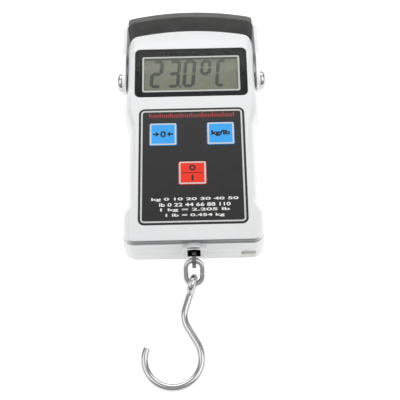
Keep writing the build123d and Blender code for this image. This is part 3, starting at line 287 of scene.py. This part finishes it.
FINISHES = {
    "silver_plastic": make("silver paint", **SILVER_PAINT, extra=speckle),
    "white_enamel": make("white enamel", (0.90, 0.905, 0.91), 0.40, tone=0.012, coat=0.2, grain=0.003 * MM,
                         wear=(0.72, 0.72, 0.72), wear_radius=0.2 * MM),
    "zinc_steel": make("zinc plated steel", (0.55, 0.55, 0.53), 0.36, metal=1.0, tone=0.10, rough_swing=0.10,
                       grain=0.006 * MM, grain_stretch=(1.0, 0.12, 1.0), wear=(0.75, 0.74, 0.70)),
    "black_print": make("black print", (0.014, 0.014, 0.015), 0.40, specular=0.2, tone=0.10,
                        grain=0.002 * MM, dust=0.03),
    "reflector": make("reflector foil", (0.55, 0.55, 0.50), 0.42, metal=0.6, tone=0.05, grain=0.004 * MM),
    "white_plastic": make("white moulding", (0.72, 0.72, 0.69), 0.48, tone=0.03, grain=0.006 * MM,
                          wear=(0.60, 0.59, 0.56)),
    "zebra_rubber": make("striped elastomer", (0.28, 0.10, 0.22), 0.62, tone=0.12, grain=0.01 * MM),
    "black_label": make("label film", (0.0085, 0.0085, 0.0100), 0.40, specular=0.42, tone=0.12,
                        tone_scale=60.0, grain=0.003 * MM, grain_scale=3200.0, dust=0.05,
                        wear=(0.10, 0.10, 0.105),
                        wear_radius=0.15 * MM),
    "black_plastic": make("black moulding", (0.03, 0.03, 0.03), 0.46, tone=0.12, grain=0.006 * MM),
    "board": make("solder mask", (0.02, 0.17, 0.06), 0.30, tone=0.12, coat=0.3, grain=0.004 * MM),
    "epoxy": make("epoxy", (0.012, 0.012, 0.012), 0.22, tone=0.15, coat=0.4, grain=0.01 * MM,
                  grain_scale=600.0),
    "cell_aluminium": make("machined aluminium", (0.72, 0.73, 0.75), 0.30, metal=1.0, tone=0.05,
                           grain=0.005 * MM, grain_stretch=(0.06, 1.0, 1.0), wear=(0.85, 0.85, 0.86)),
    "gauge_foil": make("gauge film", (0.52, 0.27, 0.06), 0.30, tone=0.12, coat=0.3, grain=0.004 * MM),
    "wire": make("wire sleeve", (0.50, 0.03, 0.02), 0.42, tone=0.10, grain=0.005 * MM),
    "chrome_steel": make("chrome plate", (0.55, 0.55, 0.55), 0.075, metal=1.0, tone=0.03, tone_scale=160.0,
                         rough_swing=0.035, grain=0.0035 * MM, grain_scale=420.0, wear=(0.55, 0.54, 0.52),
                         wear_radius=0.2 * MM),
    "nylon": make("nylon", (0.42, 0.42, 0.41), 0.50, tone=0.04, grain=0.006 * MM),
    "battery_wrap": make("cell sleeve", (0.035, 0.05, 0.085), 0.28, tone=0.10, coat=0.4, grain=0.003 * MM),
    "contact_metal": make("nickel plate", (0.66, 0.64, 0.58), 0.22, metal=1.0, tone=0.06, grain=0.004 * MM,
                          wear=(0.80, 0.78, 0.70)),
    "grip_black": make("grip", (0.135, 0.134, 0.130), 0.55, specular=0.3, tone=0.14, tone_scale=120.0,
                       rough_swing=0.08,
                       grain=0.012 * MM, grain_scale=2600.0, wear=(0.10, 0.10, 0.10), dust=0.06),
    "key_blue": make("blue print", (0.040, 0.36, 0.86), 0.40, specular=0.3, tone=0.04,
                     grain=0.003 * MM, grain_scale=3000.0),
    "key_red": make("red print", (0.82, 0.030, 0.012), 0.40, specular=0.3, tone=0.04,
                    grain=0.003 * MM, grain_scale=3000.0),
    "tape_paint": make("tape paint", (0.74, 0.73, 0.68), 0.34, tone=0.05, grain=0.003 * MM,
                        wear=(0.35, 0.33, 0.30), wear_radius=0.1 * MM),
    "spring_steel": make("spring steel", (0.36, 0.36, 0.38), 0.28, metal=1.0, tone=0.10, grain=0.004 * MM),
}
SILVER_PRINT = make("silver print", (0.60, 0.60, 0.59), 0.34, metal=0.25, tone=0.05, grain=0.002 * MM)
WHITE_PRINT = make("white print", (0.80, 0.80, 0.78), 0.45, tone=0.04, grain=0.002 * MM)
RED_PRINT = make("dark red print", (0.36, 0.022, 0.020), 0.40, tone=0.10, grain=0.002 * MM)
DARK_PRINT = make("dark print", (0.012, 0.014, 0.018), 0.45, specular=0.3, tone=0.12, grain=0.002 * MM)


def display_glass():
    """Olive display with a painted shadow of the window frame along its upper edge, and faint grain."""
    material = bpy.data.materials.new("display")
    material.use_nodes = True
    g = Graph(material.node_tree)
    shader = g.add("ShaderNodeBsdfPrincipled", {"Specular IOR Level": 0.3})
    out = g.add("ShaderNodeOutputMaterial")
    g.link(shader.outputs[0], out.inputs["Surface"])
    low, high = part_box("lcd_cell")
    # painted shadow: the display darkens towards its upper edge, where the window frame shades it
    shade = g.span(g.place()["Y"], 1.0, 0.80, high.y - 8 * MM, high.y - 3 * MM)
    cloud = g.ramp(g.noise(60.0, 3.0), [(0.3, (0.300, 0.304, 0.240)), (0.7, (0.338, 0.342, 0.270))])
    fine = g.ramp(g.noise(4200.0, 2.0), [(0.2, 0.93), (0.8, 1.05)])
    colour = g.mix(1.0, g.mix(1.0, cloud, fine, blend="MULTIPLY"), shade, blend="MULTIPLY")
    g.link(colour, shader.inputs["Base Color"])
    g.link(g.span(g.noise(300.0), 0.20, 0.32), shader.inputs["Roughness"])
    return material


def clear_lens():
    """Clear acrylic: it mirrors by its angle, with faint rubbing marks, and lets the rest through."""
    material = bpy.data.materials.new("clear acrylic")
    material.use_nodes = True
    g = Graph(material.node_tree)
    clear = g.add("ShaderNodeBsdfTransparent", {"Color": (0.93, 0.94, 0.93, 1.0)})
    gloss = g.add("ShaderNodeBsdfGlossy", {"Color": (0.9, 0.9, 0.9, 1.0)})
    g.link(g.span(g.noise(180.0, 3.0, 0.5), 0.03, 0.07, 0.3, 0.7), gloss.inputs["Roughness"])
    fresnel = g.add("ShaderNodeFresnel", {"IOR": 1.22})
    both = g.add("ShaderNodeMixShader")
    g.link(fresnel.outputs[0], both.inputs[0])
    g.link(clear.outputs[0], both.inputs[1])
    g.link(gloss.outputs[0], both.inputs[2])
    out = g.add("ShaderNodeOutputMaterial")
    g.link(both.outputs[0], out.inputs["Surface"])
    return material


FINISHES["lcd_glass"] = display_glass()
FINISHES["clear_plastic"] = clear_lens()

# painted shade on the front and rear shells: a grey band at the foot of the face and black inside the mouth
FRONT_FINISH = make("silver paint with painted shade", **SILVER_PAINT, extra=front_paint)
TANG_FINISH = make("tang steel", (0.24, 0.235, 0.225), 0.26, metal=1.0, tone=0.10, grain=0.004 * MM,
                   wear=(0.55, 0.54, 0.52), wear_radius=0.25 * MM)
NODE_FINISH = {"front_shell": FRONT_FINISH, "rear_shell": FRONT_FINISH, "hook_tang": TANG_FINISH}

for part in frame["record"]["subparts"]:
    mesh_object = nodes[part["node"]]
    finish = NODE_FINISH.get(part["node"], FINISHES[part["material_slot"]])
    if mesh_object.data.materials:
        for index in range(len(mesh_object.material_slots)):
            mesh_object.material_slots[index].material = finish
    else:
        mesh_object.data.materials.append(finish)


# ---------------------------------------------------------------- printed marks
def add_piece(name, mesh, material, body):
    """Put a new mesh into the scene, riding on a body."""
    piece = bpy.data.objects.new(name, mesh)
    bpy.context.scene.collection.objects.link(piece)
    mesh.materials.clear()
    mesh.materials.append(material)
    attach(piece, body)


def rounded(width, length, radius, centre, steps=8):
    """Points of a rounded rectangle, counter-clockwise."""
    points = []
    for turn, (sx, sy) in enumerate(((1, 1), (-1, 1), (-1, -1), (1, -1))):
        cx = centre[0] + sx * (width / 2 - radius)
        cy = centre[1] + sy * (length / 2 - radius)
        for step in range(steps + 1):
            angle = math.radians(90 * turn + 90 * step / steps)
            points.append((cx + radius * math.cos(angle), cy + radius * math.sin(angle)))
    return points


def slab(mesh, loops, low, high):
    """Add closed thin plates with these outlines to a bmesh."""
    for loop in loops:
        bottom = [mesh.verts.new((x, y, low)) for x, y in loop]
        top = [mesh.verts.new((x, y, high)) for x, y in loop]
        mesh.faces.new(reversed(bottom))
        mesh.faces.new(top)
        for i in range(len(loop)):
            j = (i + 1) % len(loop)
            mesh.faces.new((bottom[i], bottom[j], top[j], top[i]))


def band(mesh, outer, inner, low, high):
    """Add a closed flat ring between two outlines with equal numbers of points."""
    count = len(outer)
    rows = [[mesh.verts.new((x, y, z)) for x, y in loop] for loop, z in
            ((outer, low), (outer, high), (inner, high), (inner, low))]
    for first, second in zip(rows, rows[1:] + rows[:1]):
        for i in range(count):
            j = (i + 1) % count
            mesh.faces.new((first[i], first[j], second[j], second[i]))


def to_mesh(name, build):
    """A new mesh in metres from a function that fills a bmesh in millimetres."""
    work = bmesh.new()
    build(work)
    bmesh.ops.scale(work, vec=(MM, MM, MM), verts=work.verts)
    bmesh.ops.recalc_face_normals(work, faces=work.faces)
    mesh = bpy.data.meshes.new(name)
    work.to_mesh(mesh)
    work.free()
    return mesh


LETTER_DEPTH = 0.1  # of the text curve on each side of its plane, before it is made to fit


def lettering(name, text, centre, width, height, low, thickness, bold=0.0):
    """A text made to fit a width and a height in millimetres, as a mesh lying on the plane z = low."""
    curve = bpy.data.curves.new(name, "FONT")
    curve.body = text
    curve.size = 1.0
    curve.offset = bold
    curve.extrude = LETTER_DEPTH
    curve.resolution_u = 3
    holder = bpy.data.objects.new(name, curve)
    bpy.context.scene.collection.objects.link(holder)
    bpy.context.view_layer.update()
    graph = bpy.context.evaluated_depsgraph_get()
    mesh = bpy.data.meshes.new_from_object(holder.evaluated_get(graph))
    bpy.data.objects.remove(holder)
    xs = [v.co.x for v in mesh.vertices]
    ys = [v.co.y for v in mesh.vertices]
    wide, tall = max(xs) - min(xs), max(ys) - min(ys)
    spread = Matrix.Diagonal((width / wide, height / tall, thickness / (2 * LETTER_DEPTH), 1.0))
    middle = Matrix.Translation((-(max(xs) + min(xs)) / 2, -(max(ys) + min(ys)) / 2, LETTER_DEPTH))
    place = Matrix.Translation((centre[0] * MM, centre[1] * MM, low * MM))
    mesh.transform(place @ Matrix.Scale(MM, 4) @ spread @ middle)
    return mesh


def place_mm(node):
    """Middle, size and top of a CAD node in millimetres."""
    low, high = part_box(node)
    middle = (low + high) / 2 / MM
    size = (high - low) / MM
    return middle, size, high.z / MM


INK = 0.02  # thickness of the printed marks, in millimetres
panel, panel_size, panel_top = place_mm("label_panel")
_, _, mask_top = place_mm("window_mask")
lcd, _, lcd_top = place_mm("lcd_cell")
panel_middle = (panel.x, panel.y)

# keyline round the label
KEYLINE_INSET = 1.05
KEYLINE_WIDTH = 0.85
PANEL_CORNER = 3.05


def panel_keyline(work):
    outer = rounded(panel_size.x - 2 * KEYLINE_INSET, panel_size.y - 2 * KEYLINE_INSET,
                    PANEL_CORNER - KEYLINE_INSET, panel_middle)
    inset = KEYLINE_INSET + KEYLINE_WIDTH
    inner = rounded(panel_size.x - 2 * inset, panel_size.y - 2 * inset, PANEL_CORNER - inset, panel_middle)
    band(work, outer, inner, panel_top, panel_top + INK)


add_piece("label_keyline", to_mesh("label_keyline", panel_keyline), SILVER_PRINT, "root")

# keyline round the display, printed under the lens
WINDOW_LINE = (52.5, 22.0)
WINDOW_LINE_WIDTH = 0.9
WINDOW_MIDDLE = (0.0, lcd.y)


def window_keyline(work):
    outer = rounded(*WINDOW_LINE, 1.0, WINDOW_MIDDLE)
    inner = rounded(WINDOW_LINE[0] - 2 * WINDOW_LINE_WIDTH, WINDOW_LINE[1] - 2 * WINDOW_LINE_WIDTH,
                    0.7, WINDOW_MIDDLE)
    band(work, outer, inner, mask_top, mask_top + INK)


add_piece("window_keyline", to_mesh("window_keyline", window_keyline), WHITE_PRINT, "root")

# ---------------------------------------------------------------- display segments
DIGIT_SIZE = (6.7, 17.3)
SEGMENT = 1.9
SEGMENT_GAP = 0.12
SEGMENT_TIP = 0.30  # length of a segment's pointed end, as a share of its width
SLANT = math.tan(math.radians(5.0))
READING_DROP = 7.9  # of the digits' feet below the middle of the display
DIGIT_PLACES = (("2", -22.6), ("3", -13.2), ("0", -5.0))
POINT_X = -6.0
DEGREE_X, DEGREE_RISE, DEGREE_SIZE = 4.6, 7.4, (6.0, 9.8)
UNIT_X, UNIT_WIDTH = 12.6, 5.6
LIT = {"2": "abged", "3": "abgcd", "0": "abcdef", "C": "afed"}


def segment(start, end, width):
    """Six-sided bar between two points of a display digit."""
    a, b = Vector(start), Vector(end)
    along = (b - a).normalized()
    across = Vector((-along.y, along.x)) * width / 2
    a, b = a + along * SEGMENT_GAP, b - along * SEGMENT_GAP
    tip = along * width * SEGMENT_TIP
    return [a, a + tip - across, b - tip - across, b, b - tip + across, a + tip + across]


def digit(shape, left, bottom, width, height):
    """Outlines of the lit segments of a digit."""
    half = SEGMENT / 2
    x0, x1 = half, width - half
    y0, y1, y2 = half, height / 2, height - half
    places = {
        "a": ((x0, y2), (x1, y2)), "b": ((x1, y2), (x1, y1)), "c": ((x1, y1), (x1, y0)),
        "d": ((x0, y0), (x1, y0)), "e": ((x0, y1), (x0, y0)), "f": ((x0, y2), (x0, y1)),
        "g": ((x0, y1), (x1, y1)),
    }
    loops = []
    for key in LIT[shape]:
        bar = segment(*places[key], SEGMENT)
        loops.append([(left + p.x + p.y * SLANT, bottom + p.y) for p in bar])
    return loops


def reading(work):
    bottom = lcd.y - READING_DROP
    width, height = DIGIT_SIZE
    low, high = lcd_top, lcd_top + INK
    for shape, left in DIGIT_PLACES:
        slab(work, digit(shape, left, bottom, width, height), low, high)
    slab(work, digit("0", DEGREE_X, bottom + DEGREE_RISE, *DEGREE_SIZE), low, high)
    slab(work, digit("C", UNIT_X, bottom, UNIT_WIDTH, height), low, high)
    slab(work, [rounded(1.3, 1.3, 0.3, (POINT_X, bottom + 0.7))], low, high)


add_piece("display_reading", to_mesh("display_reading", reading),
          make("display segments", (0.112, 0.118, 0.104), 0.4, specular=0.3, tone=0.05), "root")

# ---------------------------------------------------------------- keys
KEY_BORDER = 0.75
KEY_BODIES = {"zero": "zero_button", "unit": "unit_button", "power": "power_button"}


def key_border(middle, size, top):
    def build(work):
        outer = rounded(size.x - 0.5, size.y - 0.5, 0.75, middle)
        inner = rounded(size.x - 0.5 - 2 * KEY_BORDER, size.y - 0.5 - 2 * KEY_BORDER, 0.4, middle)
        band(work, outer, inner, top, top + INK)
    return build


def arrow(tip, direction, length, height):
    """A solid triangle with a short shaft, pointing along x."""
    x, y = tip
    back = x - direction * length
    neck = x - direction * length * 0.55
    return [(x, y), (neck, y + height / 2), (neck, y + height * 0.16), (back, y + height * 0.16),
            (back, y - height * 0.16), (neck, y - height * 0.16), (neck, y - height / 2)]


def zero_mark(middle, top):
    def build(work):
        x, y = middle
        band(work, rounded(2.8, 3.6, 1.35, middle), rounded(1.1, 1.9, 0.5, middle), top, top + INK)
        slab(work, [arrow((x - 1.9, y), 1, 3.3, 3.0), arrow((x + 1.9, y), -1, 3.3, 3.0)], top, top + INK)
    return build


def power_mark(middle, top):
    def build(work):
        x, y = middle
        slab(work, [rounded(10.8, 0.4, 0.1, middle), rounded(1.0, 3.3, 0.2, (x, y - 2.9))], top, top + INK)
        ring = (x, y + 2.9)
        band(work, rounded(3.4, 3.4, 1.69, ring), rounded(1.6, 1.6, 0.79, ring), top, top + INK)
    return build


for key, body in KEY_BODIES.items():
    middle, size, top = place_mm(f"{key}_key")
    centre = (middle.x, middle.y)
    add_piece(f"{key}_border", to_mesh(f"{key}_border", key_border(centre, size, top)), SILVER_PRINT, body)
    if key == "zero":
        mark = to_mesh("zero_legend", zero_mark(centre, top))
    elif key == "power":
        mark = to_mesh("power_legend", power_mark(centre, top))
    else:
        mark = lettering("unit_legend", "kg/lb", centre, 9.8, 3.6, top, INK, bold=0.05)
    add_piece(f"{key}_legend", mark, DARK_PRINT, body)

# ---------------------------------------------------------------- label print
HEADLINE_Y = 8.7
HEADLINE_HALF = 22.0
TICK_PITCH = 1.1


def headline(work):
    """A row of graduation ticks, every fifth one full height."""
    ticks = []
    count = int(2 * HEADLINE_HALF / TICK_PITCH)
    for i in range(count + 1):
        x = -HEADLINE_HALF + i * TICK_PITCH
        tall = 2.9 if i % 5 == 0 else 1.9
        ticks.append(rounded(0.6, tall, 0.1, (x, HEADLINE_Y - 1.45 + tall / 2), 2))
    slab(work, ticks, panel_top, panel_top + INK)


add_piece("headline_ticks", to_mesh("headline_ticks", headline), RED_PRINT, "root")

TEXT_LINES = (
    ("kg 0 10 20 30 40 50", -39.7, 44.0, 2.0),
    ("lb 0 22 44 66 88 110", -42.6, 36.0, 2.0),
    ("1 kg = 2.205 lb", -45.5, 35.0, 2.0),
    ("1 lb = 0.454 kg", -48.5, 29.5, 2.0),
)
for index, (text, y, width, height) in enumerate(TEXT_LINES):
    mesh = lettering(f"scale_line_{index}", text, (1.0, y), width, height, panel_top, INK, bold=0.025)
    add_piece(f"scale_line_{index}", mesh, WHITE_PRINT, "root")

# ---------------------------------------------------------------- tape graduations
tape_low, tape_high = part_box("tape_blade")


def tape_ticks(work):
    left = tape_low.x / MM
    y = tape_low.y / MM + 6.0
    top = tape_high.z / MM
    i = 0
    loops = []
    while y < tape_high.y / MM - 1.0:
        long = 2.4 if i % 10 == 0 else (1.8 if i % 5 == 0 else 1.1)
        loops.append([(left + 0.1, y - 0.07), (left + 0.1 + long, y - 0.07),
                      (left + 0.1 + long, y + 0.07), (left + 0.1, y + 0.07)])
        y += 1.0
        i += 1
    slab(work, loops, top, top + 0.01)


add_piece("tape_graduations", to_mesh("tape_graduations", tape_ticks), DARK_PRINT, "tape")

# ---------------------------------------------------------------- floor, light and camera
FLOOR_GAP = 0.15 * MM
FLOOR_REACH = 2.5
FLOOR_GLOW = 0.56
FOCAL_LENGTH = 79.08
ROLL = math.radians(-1.917)
floor_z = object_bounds()[0].z - FLOOR_GAP
floor_mesh = bpy.data.meshes.new("floor")
reach = FLOOR_REACH
floor_mesh.from_pydata(
    [(-reach, -reach, floor_z), (reach, -reach, floor_z), (reach, reach, floor_z), (-reach, reach, floor_z)],
    [], [(0, 1, 2, 3)],
)
floor = bpy.data.objects.new("floor", floor_mesh)
bpy.context.scene.collection.objects.link(floor)
floor_look = bpy.data.materials.new("pale floor")
floor_look.use_nodes = True
g = Graph(floor_look.node_tree)
shader = g.add("ShaderNodeBsdfPrincipled", {
    "Base Color": (0.80, 0.80, 0.80, 1.0), "Roughness": 0.7, "Specular IOR Level": 0.2,
    "Emission Color": (1.0, 1.0, 1.0, 1.0), "Emission Strength": FLOOR_GLOW,
})
out = g.add("ShaderNodeOutputMaterial")
g.link(shader.outputs[0], out.inputs["Surface"])
floor_mesh.materials.append(floor_look)

world = bpy.data.worlds.new("studio")
bpy.context.scene.world = world
world.use_nodes = True
g = Graph(world.node_tree)
split = g.add("ShaderNodeSeparateXYZ")
g.link(g.add("ShaderNodeTexCoord").outputs["Generated"], split.inputs[0])
sky = g.ramp(split.outputs["Z"], [(0.0, 0.13), (0.22, 0.19), (0.45, 0.50), (1.0, 0.50)])
background = g.add("ShaderNodeBackground", {"Strength": 1.0})
g.link(sky, background.inputs["Color"])
out = g.add("ShaderNodeOutputWorld")
g.link(background.outputs[0], out.inputs["Surface"])


def softbox(name, place, target, size, power):
    lamp = bpy.data.lights.new(name, "AREA")
    lamp.shape = "RECTANGLE"
    lamp.size, lamp.size_y = size
    lamp.energy = power
    holder = bpy.data.objects.new(name, lamp)
    bpy.context.scene.collection.objects.link(holder)
    holder.location = place
    holder.rotation_mode = "QUATERNION"
    holder.rotation_quaternion = (Vector(target) - Vector(place)).to_track_quat("-Z", "Y")


aim = (0.0, -0.03, 0.0)
softbox("left_box", (-0.75, -0.15, 0.85), aim, (0.9, 1.3), 3.6)
softbox("right_box", (0.75, -0.15, 0.85), aim, (0.9, 1.3), 4.5)
softbox("top_box", (0.0, 1.0, 0.85), aim, (1.6, 0.8), 8.6)

camera_data = bpy.data.cameras.new("camera")
camera_data.sensor_width = 36.0
camera_data.lens = FOCAL_LENGTH
camera = bpy.data.objects.new("camera", camera_data)
bpy.context.scene.collection.objects.link(camera)
bpy.context.scene.camera = camera
eye = Vector((5.92, -217.91, 430.37)) * MM
look = Vector((3.57, -40.24, 25.0)) * MM
camera.location = eye
camera.rotation_mode = "QUATERNION"
camera.rotation_quaternion = (look - eye).to_track_quat("-Z", "Y") @ Quaternion((0, 0, 1), ROLL)
camera_data.clip_start, camera_data.clip_end = 0.01, 20.0

bpy.context.scene.view_settings.view_transform = "Standard"
bpy.context.scene.view_settings.look = "None"
